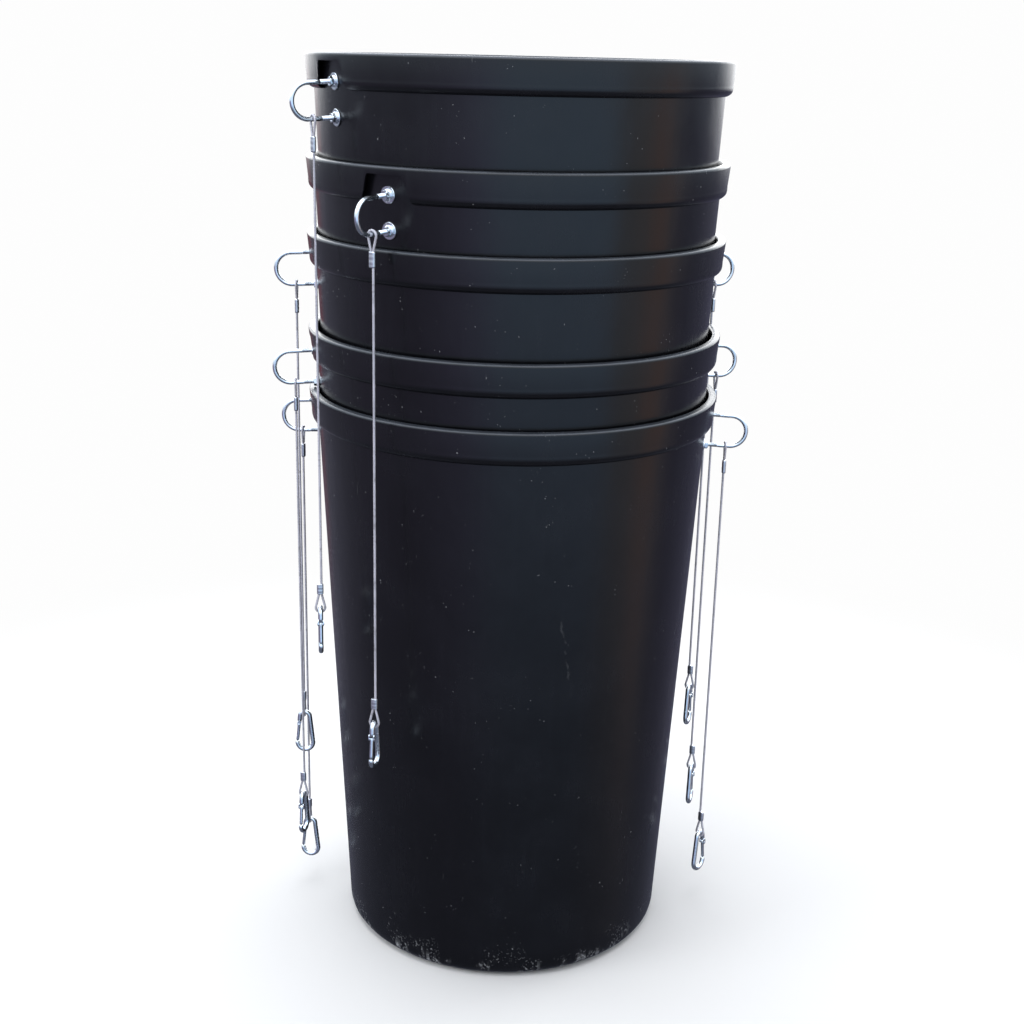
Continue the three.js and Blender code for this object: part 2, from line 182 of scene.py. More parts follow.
# %% Rings of points, skinned and capped
def skin(rings, caps=True):
    """Quads between one ring and the next, all rings having the same number of points."""
    count = len(rings[0])
    faces = []
    for row in range(len(rings) - 1):
        for i in range(count):
            j = (i + 1) % count
            a, b = row * count, (row + 1) * count
            faces.append([a + i, a + j, b + j, b + i])
    if caps:
        faces.append(list(reversed(range(count))))
        faces.append([(len(rings) - 1) * count + i for i in range(count)])
    return [point for ring in rings for point in ring], faces


def frames_along(line):
    """For each point of a line, two directions across it that never twist about it."""
    ahead = [(b - a).normalized() for a, b in zip(line, line[1:])]
    tangents = [ahead[0]] + [(a + b).normalized() for a, b in zip(ahead, ahead[1:])] + [ahead[-1]]
    across = tangents[0].orthogonal().normalized()
    found = []
    for before, tangent in zip([tangents[0]] + tangents, tangents):
        across = before.rotation_difference(tangent) @ across
        across = (across - tangent * across.dot(tangent)).normalized()
        found.append((across, tangent.cross(across)))
    return found


def bar(line, radius, sides=16, twist=0.0, ridges=0, depth=0.0):
    """A bar along a line. radius is a number or a list; twist turns its section as it goes, and
    ridges and depth flute it, as the strands of a rope do."""
    radii = radius if isinstance(radius, list) else [radius] * len(line)
    rings, travelled = [], 0.0
    for i, (point, (u, v)) in enumerate(zip(line, frames_along(line))):
        travelled += (point - line[max(i - 1, 0)]).length
        ring = []
        for k in range(sides):
            angle = 2 * pi * k / sides
            reach = radii[i] - depth * (0.5 - 0.5 * cos(ridges * angle))
            bearing = angle + twist * travelled
            ring.append(point + (u * cos(bearing) + v * sin(bearing)) * reach)
        rings.append(ring)
    return skin(rings)


# %% Lines, arcs and turned shapes
def steps_between(start, end, step):
    """Points from start to just before end, about a step apart."""
    count = max(1, ceil((end - start).length / step))
    return [start.lerp(end, i / count) for i in range(count)]


def arc(centre, radius, start, end, count, plane="xz"):
    """Points on an arc in the XZ or YZ plane, angles in radians from the plane's first axis."""
    found = []
    for i in range(count + 1):
        angle = start + (end - start) * i / count
        across, up = radius * cos(angle), radius * sin(angle)
        found.append(centre + Vector((across, 0, up) if plane == "xz" else (0, across, up)))
    return found


def turned(profile, sides=32, axis="Z"):
    """A profile of (radius, height) pairs turned about an axis. It starts and ends on the axis."""
    rings = []
    for radius, height in profile:
        ring = []
        for k in range(sides):
            angle = 2 * pi * k / sides
            a, b = radius * cos(angle), radius * sin(angle)
            ring.append(Vector((a, b, height) if axis == "Z" else (height, a, b)))
        rings.append(ring)
    return skin(rings, caps=False)


def rounded(corners):
    """An outline whose corners (radius, height, fillet) are replaced with short arcs."""
    outline = []
    for i, (r, z, fillet) in enumerate(corners):
        here = Vector((r, z))
        if not fillet or i in (0, len(corners) - 1):
            outline.append((r, z))
            continue
        back = (Vector(corners[i - 1][:2]) - here).normalized()
        on = (Vector(corners[i + 1][:2]) - here).normalized()
        half = acos(max(-1, min(1, back.dot(on)))) / 2
        cut = fillet / max(1e-6, abs(sin(half) / cos(half)))
        middle = here + (back + on).normalized() * (fillet / sin(half))
        first, last = here + back * cut - middle, here + on * cut - middle
        turn = first.angle_signed(last)
        for k in range(5):
            at = middle + Matrix.Rotation(-turn * k / 4, 2) @ first
            outline.append((at.x, at.y))
    return outline


print("mesh tools ready")

# %% [markdown]
# ## Finishes as arithmetic
# A material could be wired by hand in the node editor, or typed as long lists of nodes and links.
# Here one small class stands for a node's output and answers to +, - and *, so that a worn
# edge or a dusty patch reads as the sum that it is. Every other node comes from one method.

# %% A socket that does arithmetic
class Level:
    """The output of a shader node. Sums on it add Math nodes to its finish."""

    def __init__(self, finish, output):
        self.finish, self.output = finish, output

    def maths(self, operation, first, second):
        return self.finish.node("ShaderNodeMath", {"operation": operation}, {0: first, 1: second})

    def __abs__(self):
        return self.maths("ABSOLUTE", self, 0.0)

    def __add__(self, other):
        return self.maths("ADD", self, other)

    def __sub__(self, other):
        return self.maths("SUBTRACT", self, other)

    def __rsub__(self, other):
        return self.maths("SUBTRACT", other, self)

    def __mul__(self, other):
        return self.maths("MULTIPLY", self, other)

    __radd__, __rmul__ = __add__, __mul__

    def ramp(self, low, high):
        """0 below low, 1 above high and smooth between; high below low turns it round."""
        ends = {0: self, 1: low, 2: high, 3: 0.0, 4: 1.0}
        return self.finish.node("ShaderNodeMapRange", {"interpolation_type": "SMOOTHSTEP"}, ends)


# %% A finish is a material with helpers
class Finish:
    """A node material. Its constants are set on the shader's own sockets."""

    def __init__(self, name, **constants):
        self.material = bpy.data.materials.new(name)
        self.material.use_nodes = True
        self.nodes = self.material.node_tree.nodes
        self.links = self.material.node_tree.links
        self.shader = self.nodes["Principled BSDF"]
        for socket, value in constants.items():
            self.shader.inputs[socket.replace("_", " ")].default_value = value

    def node(self, kind, settings=None, inputs=None, output=0):
        made = self.nodes.new(kind)
        for setting, value in (settings or {}).items():
            setattr(made, setting, value)
        for socket, value in (inputs or {}).items():
            self.feed(made.inputs[socket], value)
        return Level(self, made.outputs[output])

    def feed(self, socket, value):
        if isinstance(value, Level):
            self.links.new(value.output, socket)
        else:
            socket.default_value = value

    def place(self, stretch=(1, 1, 1)):
        """Where a point is on the object, in metres, stretched."""
        where = self.node("ShaderNodeTexCoord", output="Object")
        return self.node("ShaderNodeVectorMath", {"operation": "MULTIPLY"}, {0: where, 1: stretch})

    def grain(self, size, stretch=(1, 1, 1), detail=3.0, rough=0.55):
        """Soft noise from 0 to 1 whose blotches are about size metres across."""
        inputs = {"Vector": self.place(stretch), "Scale": 1 / size, "Detail": detail, "Roughness": rough}
        return self.node("ShaderNodeTexNoise", None, inputs)

    def parts(self, kind="Object"):
        """The x, y and z of a point on the object, in metres, or of another kind of place."""
        where = self.node("ShaderNodeTexCoord", output=kind)
        outputs = self.node("ShaderNodeSeparateXYZ", None, {0: where}).output.node.outputs
        return [Level(self, outputs[axis]) for axis in "XYZ"]

    def blend(self, share, first, second):
        """One colour turning into another as share goes from 0 to 1."""
        inputs = {0: share, 6: first, 7: second}
        return self.node("ShaderNodeMix", {"data_type": "RGBA"}, inputs, output=2)

    def relief(self, height, depth):
        """Tilts the surface's normal as if height, from 0 to 1, stood depth metres proud."""
        bumped = self.node("ShaderNodeBump", None, {"Height": height, "Distance": depth, "Strength": 1.0})
        self.set("Normal", bumped)

    def set(self, socket, value):
        self.feed(self.shader.inputs[socket], value)


# %% [markdown]
# ## Black plastic
# Moulded polyethylene is never a pure black: it is a very dark navy grey with a satin skin. Its
# gloss varies a little from blotch to blotch, the moulding ripples gently, handling leaves faint
# upright streaks and nicks, and the bottom edge is chafed pale where the bucket is dragged. It
# could be painted on an image, but noise at several sizes, masked by height, needs no unwrapping
# and never repeats. The lowest bucket also has a dried run of water down its front.

# %% Black plastic, with its wear measured from each bucket's foot
INK, BLOOM, CHALK = (0.0028, 0.0028, 0.0040, 1), (0.0052, 0.0054, 0.0080, 1), (0.30, 0.31, 0.33, 1)
# The colour of a painted highlight along the top of each rim
RIM_HIGHLIGHT = (0.036, 0.042, 0.054, 1)
RIM_SKIN = 0.0030  # how far down from its top the rim is painted paler, as a painted highlight
RUN_ACROSS, RUN_TOP, RUN_FOOT, RUN_WIDTH = 0.070, 0.567, 0.435, 0.0030  # a dried run of water
RUN_SLANT, RUN_WANDER = 0.16, 0.03
CHAFE_REACH, DRAG_REACH = 0.070, 0.034  # how far up from the foot the scuffing goes
SATIN, RELIEF_DEPTH = 0.20, 0.00004


def black_plastic(number):
    finish = Finish("black_plastic_" + number, IOR=1.47)
    up = finish.parts()[2] - lift_of[number]
    blotches = finish.grain(0.11, detail=4.0)
    streaks = finish.grain(0.010, stretch=(1, 1, 0.06), detail=3.0)
    specks = finish.grain(0.0035, detail=1.0)
    scratch = finish.grain(0.0024, stretch=(1, 1, 0.05), detail=2.0)
    patches = finish.grain(0.05, detail=2.0)
    bloom = blotches.ramp(0.38, 0.76) * 0.45 + streaks.ramp(0.52, 0.80) * 0.35
    low_down, foot = up.ramp(CHAFE_REACH, 0.0), up.ramp(DRAG_REACH, 0.004)
    chafed = specks.ramp(0.56, 0.68) * patches.ramp(0.44, 0.56) * low_down
    dragged = streaks.ramp(0.48, 0.58) * patches.ramp(0.44, 0.56) * foot
    nicked = specks.ramp(0.735, 0.77) * patches.ramp(0.55, 0.60)
    scored = scratch.ramp(0.70, 0.76) * patches.ramp(0.60, 0.68)
    wear = chafed * 0.60 + dragged * 0.50 + nicked * 0.5 + scored * 0.25
    if number == BUCKETS[-1]:
        wear = wear + dried_run(finish) * 0.17
    wear = wear.ramp(0.0, 1.0)
    # Painted highlight: the top few millimetres of each rim are painted paler, unevenly in patches
    rim = up.ramp(HEIGHT - RIM_SKIN, HEIGHT - RIM_SKIN / 3) * (patches.ramp(0.25, 0.60) * 0.5 + 0.5)
    skin_colour = finish.blend(bloom, INK, BLOOM)
    skin_colour = finish.blend(rim, skin_colour, RIM_HIGHLIGHT)
    finish.set("Base Color", finish.blend(wear, skin_colour, CHALK))
    finish.set("Roughness", blotches.ramp(0.30, 0.75) * 0.06 + streaks * 0.05 + wear * 0.25 + SATIN)
    ripples = finish.grain(0.05, stretch=(1, 1, 0.5), detail=2.0)
    finish.relief(finish.grain(0.0016, detail=2.0) + blotches * 6.0 + ripples * 16.0, RELIEF_DEPTH)
    return finish


def dried_run(finish):
    """A broken pale line down the front of the lowest bucket."""
    x, y, z = finish.parts()
    wander = (finish.grain(0.03, stretch=(0, 0, 1), detail=2.0) - 0.5) * RUN_WANDER
    aside = abs(x - RUN_ACROSS - (RUN_TOP - z) * RUN_SLANT + wander)
    lengthwise = z.ramp(RUN_TOP, RUN_TOP - 0.01) * z.ramp(RUN_FOOT, RUN_FOOT + 0.02)
    broken = finish.grain(0.005, stretch=(1, 1, 0.5), detail=3.0).ramp(0.38, 0.66)
    return aside.ramp(RUN_WIDTH, RUN_WIDTH * 0.3) * lengthwise * y.ramp(0.0, -0.1) * broken


plastic = {number: black_plastic(number) for number in BUCKETS}
print("plastic nodes", len(plastic["5"].nodes))

# %% [markdown]
# ## Metals and wire
# Bright zinc plate is a mirror gone slightly milky, with a cool tint, faint drawing marks and
# little dull spots where it has begun to go white. The strip inside the wall is plain steel, and
# the sleeves on the slings are pressed aluminium. All three are one function with different
# colours, since only the tint and the polish differ. The wire is sheathed in a clear coat that
# looks pale lilac grey, so it is a glossy plastic over a metal colour.

# %% Metal finishes
def metal(name, bright, dull, smoothest, spotting):
    finish = Finish(name, Metallic=1.0)
    cloud = finish.grain(0.012, detail=4.0)
    spots = finish.grain(0.0022, detail=2.0).ramp(0.60, 0.72) * cloud.ramp(0.45, 0.60)
    finish.set("Base Color", finish.blend(cloud.ramp(0.35, 0.75) * 0.5 + spots * spotting, bright, dull))
    finish.set("Roughness", cloud * 0.16 + spots * 0.25 + smoothest)
    finish.relief(finish.grain(0.0009, detail=2.0), 0.00002)
    return finish


zinc = metal("bright_zinc", (0.84, 0.88, 0.92, 1), (0.62, 0.64, 0.64, 1), 0.14, 0.4)
strip_steel = metal("strip_steel", (0.42, 0.43, 0.44, 1), (0.22, 0.20, 0.18, 1), 0.32, 0.6)
pressed_sleeve = metal("pressed_sleeve", (0.74, 0.74, 0.77, 1), (0.52, 0.52, 0.55, 1), 0.30, 0.4)


# %% Coated wire
def coated_wire():
    finish = Finish("coated_wire", Coat_Weight=0.7, Coat_Roughness=0.12, Metallic=0.25)
    cloud = finish.grain(0.03, detail=3.0)
    dirt = finish.grain(0.006, detail=2.0).ramp(0.55, 0.75)
    clean = finish.blend(cloud.ramp(0.3, 0.7), (0.60, 0.59, 0.67, 1), (0.44, 0.44, 0.50, 1))
    finish.set("Base Color", finish.blend(dirt * 0.5, clean, (0.14, 0.13, 0.12, 1)))
    finish.set("Roughness", cloud * 0.2 + 0.25)
    return finish


wire_coat = coated_wire()
print("finishes", [m.name for m in bpy.data.materials])

# %% [markdown]
# ## The wire slings
# A sling is one length of thin steel rope. At each end it turns back on itself round a small eye
# and a soft metal sleeve is pressed over the two strands. It hangs free, so it is a cord with a
# real length: the line below starts in the upper sleeve, goes up and over the U-bolt's leg, down
# through the sleeve, hangs straight to the lower sleeve, and turns round the eye that holds the
# hook. The six outer strands show through the coat, so the bar is fluted and twisted as it goes.

# %% Sizes of the sling, as in the CAD model
WIRE = 0.0035
EYE_HALF_WIDTH, EYE_LENGTH = 0.0064, 0.026
TOP_SLEEVE, BOTTOM_SLEEVE = 0.020, 0.015
SLEEVE_WIDTH, SLEEVE_DEPTH = 0.009, 0.006
STRAND_LAY, STRAND_DEPTH = 0.026, 0.00022  # the length of one turn of a strand; its groove
FINE_STEP, RUN_STEP = 0.003, 0.0025
TAIL_IN_SLEEVE = 0.85  # how much of each sleeve the wire's end goes into


def eye_line():
    """One eye in the YZ plane from throat to throat, its crown at the origin."""
    tail, reach = WIRE / 2, EYE_LENGTH - EYE_HALF_WIDTH
    middle = Vector((0, 0, -EYE_HALF_WIDTH))
    lean = acos(EYE_HALF_WIDTH / hypot(tail, reach)) - atan2(reach, tail)
    round_top = arc(middle, EYE_HALF_WIDTH, pi - lean, lean, 14, "yz")
    down = steps_between(round_top[-1], Vector((0, tail, -EYE_LENGTH)), FINE_STEP)
    return [Vector((0, -p.y, p.z)) for p in reversed(down[1:])] + round_top + down[1:]


def sling_line(length, twist):
    """The whole wire, from its end in the upper sleeve to its end in the lower one."""
    spun = Matrix.Rotation(twist, 3, "Z")
    strand, throat = WIRE / 2, -length + EYE_LENGTH
    start = Vector((0, -strand, -EYE_LENGTH - TOP_SLEEVE * TAIL_IN_SLEEVE))
    run_top, run_foot = Vector((0, strand, -EYE_LENGTH)), spun @ Vector((0, strand, throat))
    lower = [spun @ Vector((0, -p.y, -length - p.z)) for p in eye_line()]
    turn_back = spun @ Vector((0, -strand, throat))
    end = spun @ Vector((0, -strand, throat + BOTTOM_SLEEVE * TAIL_IN_SLEEVE))
    line = steps_between(start, Vector((0, -strand, -EYE_LENGTH)), FINE_STEP)
    line += eye_line() + steps_between(run_top, run_foot, RUN_STEP)
    line += lower + steps_between(turn_back, end, FINE_STEP) + [end]
    return [p for i, p in enumerate(line) if i == 0 or (p - line[i - 1]).length > 0.0002]


print("eye", len(eye_line()), "points")


# %% A pressed sleeve
SQUARENESS = 0.75  # 1 is an ellipse, and less is squarer
WAISTS, WAIST_DEPTH = 3, 0.07


def sleeve(top, length):
    """An oval sleeve round two strands, with softened ends and three pressed waists."""
    rings = []
    for i in range(25):
        t = i / 24
        end = min(1.0, 0.80 + 0.20 * sqrt(min(1.0, min(t, 1 - t) / 0.07)))
        waist = 1 - WAIST_DEPTH * (0.5 - 0.5 * cos(2 * pi * WAISTS * t))
        ring = []
        for k in range(24):
            angle = 2 * pi * k / 24
            c, s = cos(angle), sin(angle)
            x = copysign(SLEEVE_DEPTH / 2 * waist * end * abs(c) ** SQUARENESS, c)
            y = copysign(SLEEVE_WIDTH / 2 * end * abs(s) ** SQUARENESS, s)
            ring.append(Vector((x, y, top - length * t)))
        rings.append(ring)
    return skin(rings)


# %% Hang the slings
slings = {}
for station in stations:
    home = station.facing(station.crown)
    line = [home @ point for point in sling_line(station.length, station.twist)]
    shape = bar(line, WIRE / 2, sides=12, twist=2 * pi / STRAND_LAY, ridges=6, depth=STRAND_DEPTH)
    body = "sling_" + station.key
    wire = piece("wire_" + station.key, shape, wire_coat, body, crease=NEVER_SHARP)
    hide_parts("wire_sling_" + station.key)
    lower_sleeve = sleeve(-station.length + EYE_LENGTH + BOTTOM_SLEEVE, BOTTOM_SLEEVE)
    lower_sleeve = moved(lower_sleeve, Matrix.Rotation(station.twist, 4, "Z"))
    sleeves = joined([sleeve(-EYE_LENGTH, TOP_SLEEVE), lower_sleeve])
    sleeves = piece("sleeves_" + station.key, moved(sleeves, home), pressed_sleeve, body)
    travelled = sum((b - a).length for a, b in zip(line, line[1:]))
    slings[station.key] = {"wire": wire, "line": line, "length": travelled, "pieces": [sleeves]}
print("wire of 2a", round(slings["2a"]["length"], 3), "m")

# %% [markdown]
# ## The bucket's outline
# A bucket is a turned shape: one outline swept round an axis. The outline below is a list of
# corners, each with its own small fillet, because no moulded edge is sharp: the light that a
# rounded edge catches is what makes plastic look thick. It runs from the middle of the underside
# out and up the wall, under and round the turned-over rim, and back down the inside.

# %% Sizes of a bucket, as in the CAD model
BASE_RADIUS, MOUTH_RADIUS, WALL, FLOOR = 0.237, 0.2795, 0.0022, 0.003
BASE_ROUND = 0.018
RIM_RADIUS, RIM_DEPTH, RIM_TOP = 0.290, 0.045, 0.003
SKIRT_WALL, SKIRT_DRAFT, CHAMFER, LIP_GAP = 0.0022, 0.0032, 0.015, 0.0014
TAPER = (MOUTH_RADIUS - BASE_RADIUS) / HEIGHT
LEAN = atan2(MOUTH_RADIUS - BASE_RADIUS, HEIGHT)
RIM_FOOT, SKIRT_FOOT = HEIGHT - RIM_DEPTH, HEIGHT - RIM_DEPTH + CHAMFER
LIP_THICK, CURL = 0.0012, 4.5  # the skirt's lower lip, and how sharply it curls in


def wall_radius(z):
    return BASE_RADIUS + TAPER * z


def skirt_outside(z):
    if z >= SKIRT_FOOT:
        return RIM_RADIUS - SKIRT_DRAFT * (HEIGHT - z) / (HEIGHT - SKIRT_FOOT)
    lip = wall_radius(RIM_FOOT) + LIP_GAP + LIP_THICK
    down = 1 - max(0.0, (z - RIM_FOOT) / CHAMFER)
    return lip + (RIM_RADIUS - SKIRT_DRAFT - lip) * (1 - down ** CURL)


def skirt_inside(z):
    share = min(1.0, max(0.0, (z - RIM_FOOT) / CHAMFER))
    return skirt_outside(z) - LIP_THICK - (SKIRT_WALL - LIP_THICK) * share


def bucket_corners():
    """Corners (radius, height, fillet) from the middle of the underside round to the floor."""
    under = HEIGHT - RIM_TOP
    mouth = MOUTH_RADIUS - WALL
    inner_foot = wall_radius(BASE_ROUND) - WALL
    curl = [RIM_FOOT + CHAMFER * share for share in (0, 0.05, 0.12, 0.22, 0.36, 0.55, 0.78, 1)]
    return [
        (0, 0, 0),
        (wall_radius(0), 0, BASE_ROUND * 0.97),
        (wall_radius(under), under, 0.0012),
        (skirt_inside(under), under, 0.0010),
        *[(skirt_inside(z), z, 0) for z in reversed(curl)],
        *[(skirt_outside(z), z, 0) for z in curl],
        (RIM_RADIUS, HEIGHT, 0.0036),
        (mouth + 0.0015, HEIGHT, 0.0022),
        (mouth - 0.0002, HEIGHT - 0.006, 0.0030),
        (inner_foot, BASE_ROUND, 0.0100),
        (inner_foot - 0.012, FLOOR, 0.0060),
        (0, FLOOR, 0),
    ]


print("bucket", round(HEIGHT, 3), "m tall, wall leans", round(degrees(LEAN), 2), "degrees")

# %% [markdown]
# ## Notches in the skirt
# The skirt is cut away where a U-bolt comes through. A boolean would cut it, but booleans leave
# long slivers that shade badly on a curved, glossy surface. Instead, the columns of the mesh are
# packed close together near a notch, and each point of the skirt that would hang below the
# notch's outline is lifted up to it, along the skirt's own face. The cut edge then has clean quads
# and a real thickness.

# %% Notch outline
NOTCH_DROP, NOTCH_TOP, NOTCH_FOOT = 0.010, 0.026, 0.043  # below the rim; half widths
NOTCH_MARGIN, FINE, MIDDLING, COARSE = 0.003, 0.0011, 0.004, 0.0075  # column widths on the rim


def skirt_bottom(along):
    """The height of the skirt's lower edge, a distance along the rim from the nearest U-bolt."""
    top = HEIGHT - NOTCH_DROP
    share = min(1.0, max(0.0, (abs(along) - NOTCH_TOP) / (NOTCH_FOOT - NOTCH_TOP)))
    return top - (top - RIM_FOOT) * share * share * (3 - 2 * share)


def columns(turns):
    """Angles round the bucket, close together at the notches. turns are the U-bolts' angles."""
    near, far = NOTCH_TOP - NOTCH_MARGIN, NOTCH_FOOT + NOTCH_MARGIN
    found, angle = [], -pi
    while angle < pi - 1e-6:
        found.append(angle)
        away = min(abs(nearest(angle - turn)) for turn in turns) * RIM_RADIUS
        wide = MIDDLING if away < far + 2 * NOTCH_MARGIN else COARSE
        angle += (FINE if near < away < far else wide) / RIM_RADIUS
    return found


def nearest(angle):
    """The same direction, between -pi and pi."""
    return angle - 2 * pi * floor((angle + pi) / (2 * pi))


# %% Build a shell
WAVER = 0.00022  # how far the moulding wanders from a true cone
STEADY_RADIUS = 0.1  # nearer the axis than this it wanders less
SKIRT_CLEAR, WALL_STEP = 0.0009, 0.030


def fill_in(outline, step):
    """More points along the outline's long straight stretches."""
    found = []
    for (r0, z0), (r1, z1) in zip(outline, outline[1:]):
        count = max(1, round(hypot(r1 - r0, z1 - z0) / step))
        found += [(r0 + (r1 - r0) * i / count, z0 + (z1 - z0) * i / count) for i in range(count)]
    return found + [outline[-1]]


def on_skirt(r, z):
    """How far across the skirt's thickness a point of the outline is, or None off the skirt."""
    if r <= wall_radius(z) + SKIRT_CLEAR or not RIM_FOOT - 0.0001 < z < HEIGHT - RIM_TOP - 1e-6:
        return None
    inside, outside = skirt_inside(z), skirt_outside(z)
    return min(1.0, max(0.0, (r - inside) / (outside - inside)))


def shell(number, turns):
    rings = []
    all_columns = columns(turns)
    for r, z in fill_in(rounded(bucket_corners()), WALL_STEP):
        across = on_skirt(r, z)
        ring = []
        for angle in all_columns:
            bottom = skirt_bottom(min((nearest(angle - turn) for turn in turns), key=abs) * RIM_RADIUS)
            reach, height = r, z
            if across is not None and z < bottom:
                reach = skirt_inside(bottom) + across * (skirt_outside(bottom) - skirt_inside(bottom))
                height = bottom
            drift = noise.noise(Vector((cos(angle) * 2.2, sin(angle) * 2.2, z * 7 + int(number) * 5)))
            reach += WAVER * drift * min(1.0, r / STEADY_RADIUS)
            ring.append(Vector((reach * cos(angle), reach * sin(angle), height + lift_of[number])))
        rings.append(ring)
    return skin(rings, caps=False)


for number in BUCKETS:
    turns = [station.turn for station in stations if station.number == number]
    shape = shell(number, turns)
    piece("shell_" + number, shape, plastic[number], "bucket_" + number,
          ["bucket_" + number], crease=MOULDED)
    print("shell", number, len(shape[1]), "faces")

# %% [markdown]
# ## U-bolts
# Each is a 6 mm rod bent back on itself, with a thread on both legs. A washer and a flanged nut
# draw up on each leg against the wall, and the legs end in flat heads over a steel strip inside.
# A helical thread would cost thousands of faces, so the rod is a bar whose radius dips once per
# thread pitch near the wall, which reads as a thread in close views. The nuts are turned shapes
# whose radius is the lesser of a hexagon's and a cone's, exactly how a real nut is chamfered.

# %% Sizes of the hardware, as in the CAD model
ROD, LEG_SPACING, UPPER_LEG_DROP, U_REACH = 0.006, 0.0445, 0.035, 0.061
WASHER_RADIUS, WASHER_THICK, NUT_RADIUS, NUT_THICK = 0.011, 0.0015, 0.0065, 0.0065
GAP, PITCH = 0.0003, 0.001
BEND = LEG_SPACING / 2
BOLT_MIDDLE = HEIGHT - UPPER_LEG_DROP - LEG_SPACING / 2
STRIP_FACE, STRIP_THICK, STRIP_WIDTH, STRIP_MARGIN = 0.0030, 0.001, 0.020, 0.010
HEAD_STAND, HEAD_RADIUS, HEAD_FACE, HEAD_EDGE = 0.00025, 0.0045, 0.0030, 0.00005
THREADED, THREAD_DEPTH = 0.021, 0.00035
BEVEL = 0.0002


def on_wall(station):
    """Brings a part drawn with X out of the wall and Z up it to its place on the bucket."""
    reach = wall_radius(BOLT_MIDDLE)
    up = lift_of[station.number] + BOLT_MIDDLE
    out = Matrix.Rotation(station.turn, 4, "Z") @ Matrix.Translation((reach, 0, 0))
    return Matrix.Translation((0, 0, up)) @ out @ Matrix.Rotation(LEAN, 4, "Y")


# %% Bent rod
def bent_rod():
    end = -(STRIP_FACE + STRIP_THICK + HEAD_STAND * 0.5)
    thread_start, thread_end = Vector((PITCH / 2, 0, 0)), Vector((THREADED, 0, 0))
    plain_end = Vector((U_REACH - BEND, 0, 0))
    leg = [Vector((end, 0, 0))] + steps_between(thread_start, thread_end, PITCH / 2)
    leg += steps_between(thread_end, plain_end, 0.004)
    radii = [ROD / 2 - (THREAD_DEPTH if i % 2 and p.x < THREADED else 0) for i, p in enumerate(leg)]
    bend = arc(plain_end, BEND, pi / 2, -pi / 2, 28)
    line = [p + Vector((0, 0, BEND)) for p in leg] + bend
    line += [p - Vector((0, 0, BEND)) for p in reversed(leg)]
    return bar(line, radii + [ROD / 2] * len(bend) + radii[::-1], sides=18)


# %% Washer and flanged nut
def washer():
    inner, outer = GAP, GAP + WASHER_THICK
    edge = 0.0004
    profile = [
        (0, inner), (WASHER_RADIUS - edge, inner), (WASHER_RADIUS, inner + edge),
        (WASHER_RADIUS, outer - edge), (WASHER_RADIUS - edge, outer), (0.0040, outer + 0.0002),
        (0.0034, outer), (0, outer),
    ]
    return turned(profile, 40, "X")


def flanged_nut():
    """Rings round the X axis: a conical flange, then a hexagon under a chamfering cone."""
    seat = GAP + WASHER_THICK
    flat = NUT_RADIUS * cos(pi / 6)
    flange = 0.0076
    steps = [
        (0.0, flange * 0.96, False), (0.0003, flange, False), (0.0012, flange, False),
        (0.0018, NUT_RADIUS + 0.0004, False), (0.0022, NUT_RADIUS, True),
        (NUT_THICK - 0.0008, NUT_RADIUS, True), (NUT_THICK, NUT_RADIUS - 0.0011, True),
        (NUT_THICK, 0.0036, False), (NUT_THICK - 0.0006, 0.0031, False), (NUT_THICK - 0.0006, 0, False),
    ]
    rings = [[Vector((seat, 0, 0))] * 48]
    for along, cone, hexagon in steps:
        ring = []
        for k in range(48):
            angle = 2 * pi * k / 48
            sixth = (angle + pi / 6) % (pi / 3) - pi / 6
            reach = min(cone, flat / cos(sixth)) if hexagon else cone
            ring.append(Vector((seat + along, reach * cos(angle), reach * sin(angle))))
        rings.append(ring)
    return skin(rings, caps=False)


# %% Strip inside the wall
def plate_outline(width, length, corner, count=6):
    """A rectangle in the YZ plane with round corners."""
    found = []
    for quarter in range(4):
        start = quarter * pi / 2
        y = (width / 2 - corner) * (1 if quarter in (0, 3) else -1)
        z = (length / 2 - corner) * (1 if quarter in (0, 1) else -1)
        found += arc(Vector((0, y, z)), corner, start, start + pi / 2, count, "yz")
    return found


def slab(outline, near, far, edge):
    """An outline in the YZ plane given thickness along X, with a small bevel round both faces."""
    half_width, half_length = 0.010, 0.030

    def ring(x, shrink):
        y_share, z_share = 1 - shrink / half_width, 1 - shrink / half_length
        return [Vector((x, p.y * y_share, p.z * z_share)) for p in outline]

    return skin([ring(near, edge), ring(near + edge, 0), ring(far - edge, 0), ring(far, edge)])


def wall_strip():
    length = LEG_SPACING + 2 * STRIP_MARGIN
    back = -(STRIP_FACE + STRIP_THICK)
    strip = slab(plate_outline(STRIP_WIDTH, length, STRIP_WIDTH / 4), back, -STRIP_FACE, BEVEL)
    head = [
        (0, back - HEAD_STAND), (HEAD_FACE, back - HEAD_STAND), (HEAD_RADIUS, back - HEAD_EDGE),
        (HEAD_RADIUS, back + BEVEL), (0, back + BEVEL),
    ]
    heads = [moved(turned(head, 28, "X"), Matrix.Translation((0, 0, z))) for z in (BEND, -BEND)]
    return joined([strip] + heads)


# %% Fit the U-bolts
both_legs = [Matrix.Translation((0, 0, z)) for z in (BEND, -BEND)]
for number in BUCKETS:
    body = "bucket_" + number
    washers, nuts = [], []
    for station in stations:
        if station.number != number:
            continue
        home = on_wall(station)
        key = station.key
        piece("bent_bolt_" + key, moved(bent_rod(), home), zinc, body, ["u_bolt_" + key])
        piece("wall_strip_" + key, moved(wall_strip(), home), strip_steel, body,
              ["backing_plate_" + key])
        for leg, turn in zip(both_legs, (0.4, 1.1)):
            spin = Matrix.Rotation(turn + station.turn, 4, "X")
            washers.append(moved(washer(), home @ leg))
            nuts.append(moved(flanged_nut(), home @ leg @ spin))
    nodes = ["u_bolt_" + station.key for station in stations if station.number == number]
    piece("washers_" + number, joined(washers), zinc, body, nodes, crease=STAMPED)
    piece("flanged_nuts_" + number, joined(nuts), zinc, body, nodes, crease=MACHINED)
print("bolts fitted", len(stations))

